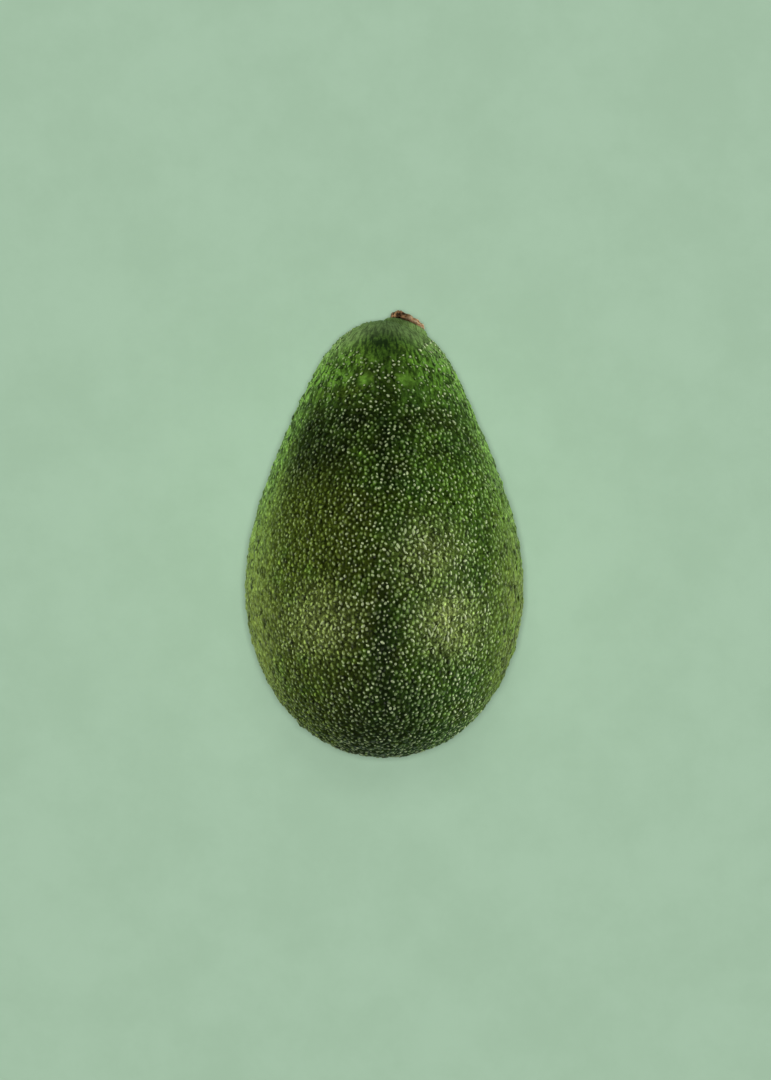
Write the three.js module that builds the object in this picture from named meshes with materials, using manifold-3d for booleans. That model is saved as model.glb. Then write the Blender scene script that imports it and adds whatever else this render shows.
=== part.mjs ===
// A whole, ripe-green avocado lying on its side: a pear-shaped fruit with pebbled skin, and the dry
// button of stalk left in its crown. Millimetres, +Z up, and the fruit stands on z = 0.
// The long axis runs along Y with the neck towards +Y, and it droops a little because the fruit
// settles with its weight over the spot that it lies on.
import * as THREE from 'three';
import { mergeVertices } from 'three/addons/utils/BufferGeometryUtils.js';
import Module from 'manifold-3d';

// Fruit, measured along and across its own axis
const LENGTH = 109.6; // blossom end to the top of the crown
const BELLY_RADIUS = 36.3; // half width of the ellipse that the fullness below swells and draws in
const FULLNESS = [0.916, -0.309, -0.13, 0.144, 0.214]; // powers of u, which is -1 at the blossom end, 1 at the crown
const DROOP = THREE.MathUtils.degToRad(12.8); // how far the neck hangs below level at rest
const SPOT_DEPTH = 0.6; // how deep the resting spot is pressed flat
const SPOT_CALM = 22; // the skin is calm under the fruit, within this distance of the lowest point

// Pebbled skin, larger than life: one pebble in every third point of a triangular lattice
const FREQUENCY = 24; // lattice steps along an edge of the icosahedron, a multiple of three
const PEBBLE_HEIGHT = 0.8; // from the valleys to the top of the tallest pebble
const PEBBLE_SCATTER = 0.22; // sideways scatter, as a share of a lattice step
const LUMP_HEIGHT = 0.3; // broad unevenness of the flesh
const SMOOTH_CROWN = 7; // the skin is smooth this far from the crown, along the surface
const SMOOTH_FADE = 4; // and reaches its full relief over this distance
const SEED = 7;

// Stalk button, a dry woody stub whose foot sits in a socket in the crown
const STEM_OFFSET = 5.6; // from the crown's top to the button's middle, along the surface towards +X
const STEM_RADIUS = 4.6;
const STEM_HEIGHT = 2.5; // how far it stands above the skin
const FOOT_RADIUS = 3.5;
const FOOT_DEPTH = 2.6;
const STEM_SIDES = 28;
const GAP = 0.3; // clearance between the button and the flesh

// Soft rim of flesh that carries the button
const COLLAR_RADIUS = 6.2;
const COLLAR_HEIGHT = 0.45;

const wasm = await Module();
wasm.setup();

// Repeatable random numbers from 0 to 1 (mulberry32)
function randomSource(seed) {
  let state = seed;
  return () => {
    state = (state + 0x6d2b79f5) | 0;
    let mixed = Math.imul(state ^ (state >>> 15), 1 | state);
    mixed = (mixed + Math.imul(mixed ^ (mixed >>> 7), 61 | mixed)) ^ mixed;
    return ((mixed ^ (mixed >>> 14)) >>> 0) / 4294967296;
  };
}

// The fruit's outline from the blossom end to the crown: x is the distance from the axis, y the place along it
class FruitOutline extends THREE.Curve {
  constructor() {
    super();
    this.arcLengthDivisions = 2000;
  }

  getPoint(t, target = new THREE.Vector2()) {
    const u = -Math.cos(Math.PI * t);
    const fullness = FULLNESS.reduce((sum, factor, power) => sum + factor * u ** power, 0);
    return target.set(BELLY_RADIUS * Math.sin(Math.PI * t) * fullness, (LENGTH / 2) * u);
  }
}

const outline = new FruitOutline();
const OUTLINE_LENGTH = outline.getLength();

// A place on the smooth fruit, in the fruit's own frame, with the direction that faces out of the skin there.
// t runs from 0 at the blossom end to 1 at the crown in equal steps along the surface.
function skinPlace(t, around) {
  const { x: radius, y: station } = outline.getPointAt(t);
  const tangent = outline.getTangentAt(t);
  const place = (out, along) => new THREE.Vector3(out * Math.cos(around), along, out * Math.sin(around));
  return { point: place(radius, station), normal: place(tangent.y, -tangent.x) };
}

// The button's seat: a frame on the crown whose +Y leaves the skin
function stemSeat() {
  const { point, normal } = skinPlace(1 - STEM_OFFSET / OUTLINE_LENGTH, 0);
  const seat = new THREE.Group();
  seat.position.copy(point);
  seat.quaternion.setFromUnitVectors(new THREE.Vector3(0, 1, 0), normal.normalize());
  return seat;
}

// Directions of a triangular lattice on the unit sphere. Each one is told whether a pebble sits on it:
// with a frequency that is a multiple of three, every pebble has six valleys round it and none is a neighbour.
function pebbleLattice() {
  const corners = new THREE.IcosahedronGeometry(1, 0).getAttribute('position');
  const directions = [];
  const pebbles = [];
  const triangles = [];
  const known = new Map();

  const corner = (index) => new THREE.Vector3().fromBufferAttribute(corners, index);
  const pointOf = (face, i, j) => {
    const k = FREQUENCY - i - j;
    const direction = new THREE.Vector3()
      .addScaledVector(corner(face), i)
      .addScaledVector(corner(face + 1), j)
      .addScaledVector(corner(face + 2), k)
      .normalize();
    const key = direction.toArray().map((value) => Math.round(value * 1e5)).join(',');
    if (!known.has(key)) {
      known.set(key, directions.length);
      directions.push(direction);
      pebbles.push((i - j) % 3 === 0);
    }
    return known.get(key);
  };

  for (let face = 0; face < corners.count; face += 3) {
    for (let i = 0; i < FREQUENCY; i += 1) {
      for (let j = 0; j < FREQUENCY - i; j += 1) {
        const [here, beside, ahead] = [pointOf(face, i, j), pointOf(face, i, j + 1), pointOf(face, i + 1, j)];
        triangles.push(here, ahead, beside);
        if (i + j < FREQUENCY - 1) triangles.push(ahead, pointOf(face, i + 1, j + 1), beside);
      }
    }
  }
  return { directions, pebbles, triangles };
}

// Broad unevenness of the flesh, from the direction seen from the fruit's middle
function lump({ x, y, z }) {
  const waves = Math.sin(3.1 * x + 4.3 * y + 1.1) + Math.sin(5.2 * z - 3.7 * y + 0.4) + Math.sin(4.6 * x - 5.9 * z);
  return (LUMP_HEIGHT * waves) / 3;
}

// The rim of flesh round the button ends in a faint crease
function collar(distance) {
  const { smoothstep } = THREE.MathUtils;
  const crease = Math.exp(-(((distance - COLLAR_RADIUS - 0.5) / 0.6) ** 2));
  return COLLAR_HEIGHT * (1 - smoothstep(distance, COLLAR_RADIUS - 1.2, COLLAR_RADIUS + 0.4) - 0.3 * crease);
}

// The whole pebbled skin as one closed surface, lying as the fruit lies, before the spot and socket are cut
function fruitSkin(seat) {
  const { directions, pebbles, triangles } = pebbleLattice();
  const random = randomSource(SEED);
  const scatter = () => (random() - 0.5) * 2 * PEBBLE_SCATTER * (1.107 / FREQUENCY);
  const { smoothstep } = THREE.MathUtils;
  const underside = new THREE.Vector3(0, Math.sin(DROOP), -Math.cos(DROOP));
  const positions = [];

  directions.forEach((lattice, index) => {
    const direction = lattice.clone().add(new THREE.Vector3(scatter(), scatter(), scatter())).normalize();
    const polar = Math.acos(THREE.MathUtils.clamp(-direction.y, -1, 1));
    const { point, normal } = skinPlace(polar / Math.PI, Math.atan2(direction.z, direction.x));
    const fromCrown = (1 - polar / Math.PI) * OUTLINE_LENGTH;
    const fromSpot = Math.acos(THREE.MathUtils.clamp(direction.dot(underside), -1, 1)) * BELLY_RADIUS;
    const relief = smoothstep(fromCrown, SMOOTH_CROWN, SMOOTH_CROWN + SMOOTH_FADE)
      * smoothstep(fromSpot, SPOT_CALM / 2, SPOT_CALM);
    const rise = pebbles[index] ? 0.55 + 0.3 * random() : -0.15 * random();
    const height = relief * PEBBLE_HEIGHT * rise + lump(direction) + collar(point.distanceTo(seat.position));
    positions.push(...point.addScaledVector(normal, height).toArray());
  });

  const skin = new THREE.BufferGeometry();
  skin.setAttribute('position', new THREE.Float32BufferAttribute(positions, 3));
  skin.setIndex(triangles);
  return skin;
}

// Profile of the button, turned round its own axis. The foot stays plain, and what shows is worn and knobbly.
// grow thickens it all round, for the socket that keeps clear of it.
function stemGeometry(grow = 0) {
  const foot = [
    [0, -FOOT_DEPTH],
    [FOOT_RADIUS, -FOOT_DEPTH],
    [FOOT_RADIUS, -0.5],
  ];
  const head = [
    [STEM_RADIUS - 0.5, -0.2],
    [STEM_RADIUS, 0.5],
    [STEM_RADIUS - 0.1, 1.3],
    [STEM_RADIUS - 0.7, 2.1],
    [STEM_RADIUS - 1.7, STEM_HEIGHT],
    [STEM_RADIUS - 3.2, STEM_HEIGHT - 0.25],
    [0, STEM_HEIGHT - 0.4],
  ];
  const profile = [...foot, ...head].map(([radius, height]) => {
    const out = radius > 0 ? radius + grow : 0;
    return new THREE.Vector2(out, height + grow * (height > 1 ? 1 : -1));
  });
  const button = new THREE.LatheGeometry(profile, STEM_SIDES);
  const position = button.getAttribute('position');
  for (let index = 0; index < position.count; index += 1) {
    const vertex = new THREE.Vector3().fromBufferAttribute(position, index);
    const around = Math.atan2(vertex.z, vertex.x);
    const worn = THREE.MathUtils.smoothstep(vertex.y, 0.2, STEM_HEIGHT);
    const knob = 0.05 * Math.sin(3 * around + 0.6) + 0.04 * Math.sin(7 * around + 2) + 0.03 * Math.sin(11 * around);
    const dip = 0.22 * Math.sin(2 * around + 1) * Math.sin(1.3 * vertex.x) + 0.12 * Math.sin(5 * around);
    vertex.x *= 1 + knob * worn;
    vertex.z *= 1 + knob * worn;
    vertex.y += dip * worn * Math.min(1, Math.hypot(vertex.x, vertex.z));
    position.setXYZ(index, ...vertex.toArray());
  }
  return button;
}

// A closed geometry as a solid that can be cut
function solid(geometry) {
  const bare = geometry.clone();
  bare.deleteAttribute('normal');
  bare.deleteAttribute('uv');
  const merged = mergeVertices(bare, 1e-4);
  const index = Array.from(merged.index.array);
  const triangles = [];
  for (let k = 0; k < index.length; k += 3) {
    const [a, b, c] = index.slice(k, k + 3);
    if (a !== b && b !== c && c !== a) triangles.push(a, b, c);
  }
  return new wasm.Manifold(new wasm.Mesh({
    numProp: 3,
    vertProperties: new Float32Array(merged.getAttribute('position').array),
    triVerts: new Uint32Array(triangles),
  }));
}

// And back from a solid to a geometry
function geometryOf(manifold) {
  const { vertProperties, triVerts } = manifold.getMesh();
  const geometry = new THREE.BufferGeometry();
  geometry.setAttribute('position', new THREE.Float32BufferAttribute(vertProperties, 3));
  geometry.setIndex(Array.from(triVerts));
  geometry.computeVertexNormals();
  return geometry;
}

function fruitMesh(seat, lying) {
  const skin = fruitSkin(seat).applyMatrix4(lying);
  skin.computeBoundingBox();
  const floor = skin.boundingBox.min.z + SPOT_DEPTH;
  const block = new THREE.BoxGeometry(2 * LENGTH, 2 * LENGTH, LENGTH).translate(0, 0, floor - LENGTH / 2);
  const socket = stemGeometry(GAP).applyMatrix4(lying.clone().multiply(seat.matrix));
  const flesh = solid(skin).subtract(solid(block)).subtract(solid(socket));
  const material = new THREE.MeshStandardMaterial({ color: 0x3f5a24, roughness: 0.45, metalness: 0 });
  const fruit = new THREE.Mesh(geometryOf(flesh), material);
  fruit.name = 'fruit';
  return { fruit, floor };
}

function stemMesh() {
  const material = new THREE.MeshStandardMaterial({ color: 0x8a6540, roughness: 0.85, metalness: 0 });
  const button = new THREE.Mesh(stemGeometry(), material);
  button.name = 'stem_button';
  return button;
}

function makeAvocado() {
  const seat = stemSeat();
  seat.updateMatrix();
  const drooping = new THREE.Group();
  drooping.rotation.x = -DROOP;
  drooping.updateMatrix();
  const { fruit, floor } = fruitMesh(seat, drooping.matrix);

  seat.add(stemMesh());
  drooping.add(seat);
  const lying = new THREE.Group().add(fruit, drooping);
  const avocado = new THREE.Group().add(lying);
  avocado.updateMatrixWorld(true);

  const middle = new THREE.Box3().setFromObject(lying, true).getCenter(new THREE.Vector3());
  lying.position.set(-middle.x, -middle.y, -floor);
  avocado.updateMatrixWorld(true);
  return avocado;
}

export default makeAvocado();
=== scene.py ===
"""Dresses a whole avocado that lies on its side: pebbled skin, pale specks and a dry stalk button.

Sizes are in metres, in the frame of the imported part: +Z up, +Y along the fruit towards its neck. The fruit's
outline is worked out once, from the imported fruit's box, and every piece of it is placed from that outline.
A place along the skin is given from -1 at the blossom end to 1 at the crown.
"""

from __future__ import annotations

import logging
import math
from abc import ABC, abstractmethod
from collections.abc import Mapping, Sequence
from dataclasses import dataclass, field
from enum import Enum
from itertools import product
from typing import ClassVar, Union

import bpy
import numpy as np
from mathutils import Matrix, Vector, noise

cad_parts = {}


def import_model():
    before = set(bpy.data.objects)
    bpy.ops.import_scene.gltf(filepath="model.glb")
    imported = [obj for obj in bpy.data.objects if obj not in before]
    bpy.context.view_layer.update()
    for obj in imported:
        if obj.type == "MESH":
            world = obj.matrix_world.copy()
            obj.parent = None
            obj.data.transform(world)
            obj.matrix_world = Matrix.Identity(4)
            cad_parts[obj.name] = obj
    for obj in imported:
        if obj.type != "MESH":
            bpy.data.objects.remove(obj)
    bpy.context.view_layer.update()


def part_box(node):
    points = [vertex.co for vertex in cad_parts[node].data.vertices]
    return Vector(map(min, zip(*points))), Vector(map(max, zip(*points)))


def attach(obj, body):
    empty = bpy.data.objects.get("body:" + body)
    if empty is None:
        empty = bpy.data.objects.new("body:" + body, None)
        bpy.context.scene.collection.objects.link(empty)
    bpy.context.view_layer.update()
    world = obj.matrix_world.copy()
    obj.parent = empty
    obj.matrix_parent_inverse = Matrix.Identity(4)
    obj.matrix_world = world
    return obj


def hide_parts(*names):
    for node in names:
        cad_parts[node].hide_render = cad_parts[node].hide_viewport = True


LOG = logging.getLogger("avocado")
MM = 0.001

Array = np.ndarray
Object = bpy.types.Object
Material = bpy.types.Material
Socket = bpy.types.NodeSocket
Feed = Union[Socket, float, int, str, Sequence[float], Material]
Tint = tuple[float, float, float, float]
Triple = tuple[float, float, float]
Span = tuple[float, float]


def shade(red: float, green: float, blue: float) -> Tint:
    """Turns a screen colour into the light value that a shader takes.

    Args:
        red, green, blue: the colour as a screen shows it, each from 0 to 255.

    Returns:
        The linear colour, with full opacity.
    """
    def light(value: float) -> float:
        """Turns one channel."""
        part = value / 255
        return part / 12.92 if part <= 0.04045 else ((part + 0.055) / 1.055) ** 2.4

    return light(red), light(green), light(blue), 1.0


def smooth(value: Array | float, low: float, high: float) -> Array | float:
    """Goes from 0 at low to 1 at high, level at both ends. It falls where low is above high."""
    part = np.clip((value - low) / (high - low), 0.0, 1.0)
    return part * part * (3 - 2 * part)


class Graph:
    """A node tree under construction, in which one call adds a node and feeds its sockets."""

    def __init__(self, tree: bpy.types.NodeTree) -> None:
        """Starts on the given tree, emptied."""
        self.tree = tree
        tree.nodes.clear()

    def add(self, kind: str, feeds: Mapping[Union[int, str], Feed] | None = None,
            **settings: object) -> bpy.types.Node:
        """Adds a node.

        Args:
            kind: the node's type.
            feeds: what goes into its sockets, by their names or places.
            settings: the node's own properties, which are set before its sockets.

        Returns:
            The new node.
        """
        node = self.tree.nodes.new(kind)
        for name, value in settings.items():
            setattr(node, name, value)
        for key, value in (feeds or {}).items():
            self.feed(node.inputs[key], value)
        return node

    def feed(self, socket: Socket, value: Feed) -> None:
        """Links a socket to another node's output, or sets it."""
        if isinstance(value, Socket):
            self.tree.links.new(value, socket)
        else:
            socket.default_value = value

    def math(self, operation: str, *terms: Feed) -> Socket:
        """Works out one sum of numbers."""
        return self.add("ShaderNodeMath", dict(enumerate(terms)), operation=operation).outputs[0]

    def fold(self, operation: str, first: Feed, *others: Feed) -> Socket:
        """Works out one sum with the first number and each of the others in turn."""
        for other in others:
            first = self.math(operation, first, other)
        return first

    def product(self, *terms: Feed) -> Socket:
        """Multiplies numbers."""
        return self.fold("MULTIPLY", *terms)

    def most(self, *terms: Feed) -> Socket:
        """Takes the largest of some numbers."""
        return self.fold("MAXIMUM", *terms)

    def vector(self, operation: str, *terms: Feed) -> Socket:
        """Works out one sum of vectors. A scale's factor is its second term."""
        keys = (0, 3) if operation == "SCALE" else (0, 1)
        node = self.add("ShaderNodeVectorMath", dict(zip(keys, terms)), operation=operation)
        return node.outputs[1 if operation == "LENGTH" else 0]

    def part(self, vector: Feed, axis: int) -> Socket:
        """Takes one number out of a vector."""
        return self.add("ShaderNodeSeparateXYZ", {0: vector}).outputs[axis]

    def join(self, x: Feed, y: Feed, z: Feed) -> Socket:
        """Makes a vector of three numbers."""
        return self.add("ShaderNodeCombineXYZ", {0: x, 1: y, 2: z}).outputs[0]

    def ramp(self, value: Feed, low: float, high: float, start: float = 0.0, end: float = 1.0) -> Socket:
        """Climbs smoothly from start to end while the value goes from low to high."""
        feeds = {0: value, 1: low, 2: high, 3: start, 4: end}
        return self.add("ShaderNodeMapRange", feeds, interpolation_type="SMOOTHSTEP").outputs[0]

    def blend(self, factor: Feed, first: Feed, second: Feed) -> Socket:
        """Mixes two colours."""
        return self.add("ShaderNodeMix", {0: factor, 6: first, 7: second}, data_type="RGBA").outputs[2]

    def noise(self, place: Feed, rate: float, detail: float = 2.0, roughness: float = 0.5) -> Socket:
        """Gives a cloudy value round 0.5, with about as many features to the metre as the rate says."""
        feeds = {"Vector": place, "Scale": rate, "Detail": detail, "Roughness": roughness}
        return self.add("ShaderNodeTexNoise", feeds).outputs[0]

    def place(self) -> Socket:
        """Reads where a point of the object is, in a material."""
        return self.add("ShaderNodeTexCoord").outputs["Object"]

    def stored(self, name: str, output: str = "Fac") -> Socket:
        """Reads a number, or a vector, that the mesh keeps at each point, in a material."""
        return self.add("ShaderNodeAttribute", attribute_name=name).outputs[output]


class Draw(Enum):
    """The seed of each random draw. A pebble and the speck on it share the draw of their widths."""

    SPECK_KEPT = 2
    WIDTH = 3
    SPECK_LENGTH = 4
    PEBBLE_HEIGHT = 5
    SPECK_TURN = 6
    PEBBLE_TONE = 8
    SPECK_TONE = 9
    PLACE = 11
    SHIFT = 21


class Rule:
    """A Geometry Nodes tree with named inputs, and the modifier that runs it on one piece."""

    KINDS: ClassVar[dict[type, str]] = {float: "Float", int: "Int", Material: "Material"}

    def __init__(self, name: str, values: Mapping[str, object]) -> None:
        """Makes the tree and its sockets.

        Args:
            name: the tree's name.
            values: each input's name and what it holds.
        """
        self.values = values
        self.tree = bpy.data.node_groups.new(name, "GeometryNodeTree")
        self.graph = Graph(self.tree)
        face = self.tree.interface
        face.new_socket("Geometry", in_out="INPUT", socket_type="NodeSocketGeometry")
        self.keys = {}
        for label, value in values.items():
            kind = f"NodeSocket{self.KINDS[type(value)]}"
            self.keys[label] = face.new_socket(label, in_out="INPUT", socket_type=kind).identifier
        face.new_socket("Geometry", in_out="OUTPUT", socket_type="NodeSocketGeometry")
        self.source = self.graph.add("NodeGroupInput")

    def given(self, name: str) -> Socket:
        """The named input's value inside the tree."""
        return self.source.outputs[name]

    def own(self, name: str) -> Socket:
        """A number that the geometry keeps at each point."""
        return self.graph.add("GeometryNodeInputNamedAttribute", {"Name": name}, data_type="FLOAT").outputs[0]

    def keep(self, geometry: Feed, name: str, value: Feed, domain: str = "POINT") -> Socket:
        """Keeps a number on the geometry, under a name that materials read."""
        feeds = {"Geometry": geometry, "Name": name, "Value": value}
        kept = self.graph.add("GeometryNodeStoreNamedAttribute", feeds, data_type="FLOAT", domain=domain)
        return kept.outputs[0]

    def chance(self, draw: Draw, span: Span = (0.0, 1.0)) -> Socket:
        """Draws a number inside a span for each point or instance."""
        feeds = {2: span[0], 3: span[1], "Seed": draw.value}
        return self.graph.add("FunctionNodeRandomValue", feeds, data_type="FLOAT").outputs[1]

    def end(self, feeds: Mapping[str, Feed], tone: Draw) -> None:
        """Ends the tree with one instance on each point. They become real and wear the given material.

        Args:
            feeds: what goes into the node that sets the instances.
            tone: the draw of the tone that each of them keeps.
        """
        grown = self.graph.add("GeometryNodeInstanceOnPoints", feeds).outputs[0]
        toned = self.keep(grown, "tone", self.chance(tone), "INSTANCE")
        real = self.graph.add("GeometryNodeRealizeInstances", {"Geometry": toned})
        rounded = self.graph.add("GeometryNodeSetShadeSmooth", {"Geometry": real.outputs[0]})
        feeds = {"Geometry": rounded.outputs[0], "Material": self.given("Material")}
        worn = self.graph.add("GeometryNodeSetMaterial", feeds)
        self.graph.add("NodeGroupOutput", {"Geometry": worn.outputs[0]})

    def grow(self, piece: Object, changes: Mapping[str, object]) -> None:
        """Runs the tree on a piece and leaves the result as its plain mesh.

        Args:
            piece: the object whose mesh goes in.
            changes: the inputs that hold something of this piece's own, and what they hold.
        """
        modifier = piece.modifiers.new(self.tree.name, "NODES")
        modifier.node_group = self.tree
        for label, value in {**self.values, **changes}.items():
            modifier[self.keys[label]] = value
        depsgraph = bpy.context.evaluated_depsgraph_get()
        grown = bpy.data.meshes.new_from_object(piece.evaluated_get(depsgraph), preserve_all_data_layers=True,
                                                depsgraph=depsgraph)
        grown.name = piece.name
        piece.modifiers.clear()
        piece.data = grown


def piece_of(name: str, points: Array, faces: Sequence[Sequence[int]]) -> Object:
    """Makes an object at the origin from points and faces.

    Args:
        name: the object's name.
        points: one row for each point.
        faces: the points of each face, anticlockwise from outside.

    Returns:
        The object, in the scene and shaded smooth.
    """
    mesh = bpy.data.meshes.new(name)
    mesh.from_pydata(np.asarray(points).tolist(), [], faces)
    mesh.shade_smooth()
    piece = bpy.data.objects.new(name, mesh)
    bpy.context.scene.collection.objects.link(piece)
    return piece


def keep_numbers(piece: Object, name: str, values: Array) -> None:
    """Keeps numbers with a piece, for nodes to read.

    Args:
        piece: the piece.
        name: the name that they are kept under.
        values: one number, or one vector, for each of its points.
    """
    kind, key = ("FLOAT", "value") if values.ndim == 1 else ("FLOAT_VECTOR", "vector")
    layer = piece.data.attributes.new(name, kind, "POINT")
    layer.data.foreach_set(key, np.ascontiguousarray(values, dtype=np.float32).reshape(-1))


def ball_grid(steps: int) -> tuple[Array, Array]:
    """Spreads a grid of squares over a ball.

    Args:
        steps: squares along each edge of the cube that the grid is blown up from.

    Returns:
        The directions of the grid's points, and the four points of each square.
    """
    ticks = np.tan(np.linspace(-math.pi / 4, math.pi / 4, steps + 1))
    across, up = np.meshgrid(ticks, ticks, indexing="ij")
    sides = []
    for axis in range(3):
        for sign in (1.0, -1.0):
            side = np.empty(across.shape + (3,))
            side[..., axis] = sign
            side[..., (axis + 1) % 3] = across
            side[..., (axis + 2) % 3] = up * sign
            sides.append(side.reshape(-1, 3))
    rows = np.arange((steps + 1) ** 2).reshape(steps + 1, steps + 1)
    square = np.stack([rows[:-1, :-1], rows[1:, :-1], rows[1:, 1:], rows[:-1, 1:]], axis=-1).reshape(-1, 4)
    squares = np.concatenate([square + number * rows.size for number in range(len(sides))])
    places, shared = np.unique(np.round(np.concatenate(sides), 7), axis=0, return_inverse=True)
    directions = places / np.linalg.norm(places, axis=1, keepdims=True)
    return directions, shared.reshape(-1)[squares]


@dataclass
class Fruit:
    """The fruit's outline and how it lies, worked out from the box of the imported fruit."""

    low: Vector
    high: Vector
    fullness: tuple[float, ...] = (0.916, -0.309, -0.13, 0.144, 0.214)
    droop: float = math.radians(12.8)
    side_allowance: float = 0.78 * MM
    end_allowance: float = -0.35 * MM
    spot_depth: float = 0.6 * MM
    lump_height: float = 0.3 * MM
    ripple_height: float = 0.55 * MM
    ripple_rates: Triple = (700.0, 420.0, 700.0)
    stalk_offset: float = 5.6 * MM
    rim_height: float = 0.8 * MM
    rim_edge: Span = (6.6 * MM, 5.0 * MM)
    crease_depth: float = 0.5 * MM
    crease_radius: float = 6.7 * MM
    crease_width: float = 0.6 * MM
    socket_depth: float = 2.9 * MM
    socket_edge: Span = (4.1 * MM, 3.5 * MM)
    samples: int = 4001
    coarse_steps: int = 40
    turn: Array = field(init=False)
    shift: Array = field(init=False)
    radius: Array = field(init=False)
    along: Array = field(init=False)
    arc: Array = field(init=False)

    def __post_init__(self) -> None:
        """Scales the outline until the lying fruit fills the box, and finds where it lies."""
        self.turn = np.array(Matrix.Rotation(-self.droop, 3, "X"))
        self.shift = np.zeros(3)
        size = self.high - self.low
        length, girth = size.y - 2 * self.end_allowance, size.x - 2 * self.side_allowance
        polar = np.linspace(0.0, math.pi, self.samples)
        full = np.polynomial.polynomial.polyval(-np.cos(polar), self.fullness)
        self.along = -length / 2 * np.cos(polar)
        self.radius = girth / 2 * np.sin(polar) * full
        self.measure()
        directions, _ = ball_grid(self.coarse_steps)
        reach = np.ptp(self.place(directions)[0], axis=0)
        self.along *= length / reach[1]
        self.radius *= girth / reach[0]
        self.measure()
        points, _ = self.place(directions)
        self.shift = np.array(self.low + self.high) / 2 - (points.max(axis=0) + points.min(axis=0)) / 2
        self.shift[2] = -points[:, 2].min() - self.spot_depth

    def measure(self) -> None:
        """Finds how far each sample of the outline is from the blossom end, along the surface."""
        steps = np.hypot(np.diff(self.radius), np.diff(self.along))
        self.arc = np.concatenate([[0.0], np.cumsum(steps)])

    def place(self, directions: Array) -> tuple[Array, Array]:
        """Puts directions from the fruit's middle onto its smooth surface.

        Args:
            directions: unit vectors in the fruit's own frame, with +Y at the crown.

        Returns:
            The points where they land on the lying fruit, and the directions that face out of it there.
        """
        arc = np.arccos(np.clip(-directions[:, 1], -1, 1)) / math.pi * self.arc[-1]
        around = np.arctan2(directions[:, 2], directions[:, 0])
        lines = (self.radius, self.along)
        radius, along = (np.interp(arc, self.arc, line) for line in lines)
        rise, run = (np.interp(arc, self.arc, np.gradient(line, self.arc)) for line in lines)
        points = np.stack([radius * np.cos(around), along, radius * np.sin(around)], axis=1)
        normals = np.stack([run * np.cos(around), -rise, run * np.sin(around)], axis=1)
        normals /= np.linalg.norm(normals, axis=1, keepdims=True)
        return points @ self.turn.T + self.shift, normals @ self.turn.T

    def spot(self, from_crown: float, around: float) -> tuple[Array, Array]:
        """One place on the smooth surface.

        Args:
            from_crown: its distance from the crown, along the surface.
            around: its angle round the fruit's axis, from +X towards the top.

        Returns:
            The point, and the direction that faces out of the fruit there.
        """
        polar = from_crown / self.arc[-1] * math.pi
        direction = [math.sin(polar) * math.cos(around), math.cos(polar), math.sin(polar) * math.sin(around)]
        points, normals = self.place(np.array([direction]))
        return points[0], normals[0]

    def lump(self, directions: Array) -> Array:
        """Broad unevenness of the flesh, by the direction from the fruit's middle."""
        x, y, z = directions.T
        waves = np.sin(3.1 * x + 4.3 * y + 1.1) + np.sin(5.2 * z - 3.7 * y + 0.4) + np.sin(4.6 * x - 5.9 * z)
        return self.lump_height * waves / 3

    def ripple(self, points: Array) -> Array:
        """Small hollows and swellings of the skin, drawn out along the fruit, at the given points."""
        places = (points * self.ripple_rates).tolist()
        return self.ripple_height * np.array([noise.noise(Vector(place)) for place in places])

    def collar(self, away: Array) -> Array:
        """Shapes the flesh round the stalk button.

        Args:
            away: how far points are from the middle of the button.

        Returns:
            The height there of the rim, less the crease round it and the socket inside it.
        """
        crease = np.exp(-(((away - self.crease_radius) / self.crease_width) ** 2))
        rim, socket = smooth(away, *self.rim_edge), smooth(away, *self.socket_edge)
        return self.rim_height * rim - self.crease_depth * crease - self.socket_depth * socket

    def seat(self) -> Matrix:
        """Finds the frame in which the stalk button stands.

        Returns:
            The frame, whose +Y leaves the skin and whose +X points away from the crown.
        """
        point, normal = self.spot(self.stalk_offset, 0.0)
        out = Vector(normal)
        side = Vector(self.turn @ np.array([0.0, 0.0, 1.0]))
        across = out.cross(side).normalized()
        return Matrix.Translation(Vector(point)) @ Matrix((across, out, side)).transposed().to_4x4()


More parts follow.
